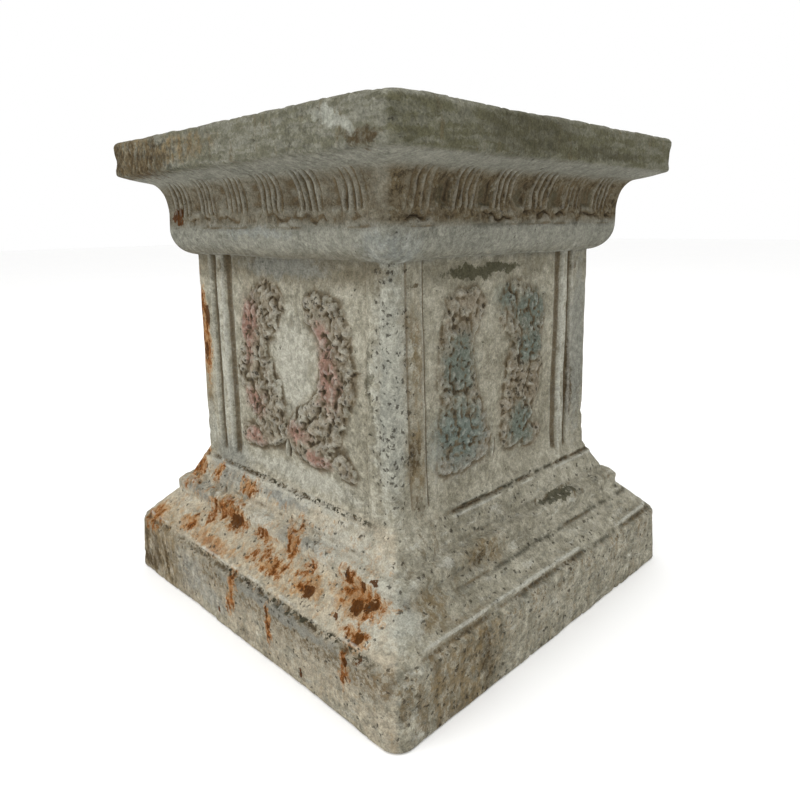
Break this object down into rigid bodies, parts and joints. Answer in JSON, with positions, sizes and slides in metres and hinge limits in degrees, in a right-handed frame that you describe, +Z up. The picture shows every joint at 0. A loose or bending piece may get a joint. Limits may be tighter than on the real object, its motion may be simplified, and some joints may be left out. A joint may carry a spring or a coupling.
{
  "type": "garden pedestal column",
  "caption": "Square cast concrete garden pedestal with a moulded plinth, panelled shaft with wreaths in relief, leaf band and flat top slab.",
  "frame": {"origin": "middle of the underside, on the ground", "axes": "+Z up, the four faces square to X and Y, the front face looking along -Y"},
  "size_m": [0.42, 0.42, 0.45],
  "materials": {
    "concrete": "weathered, matt, stained with rust and moss"
  },
  "bodies": {
    "root": {"pedestal": "concrete"}
  },
  "joints": []
}
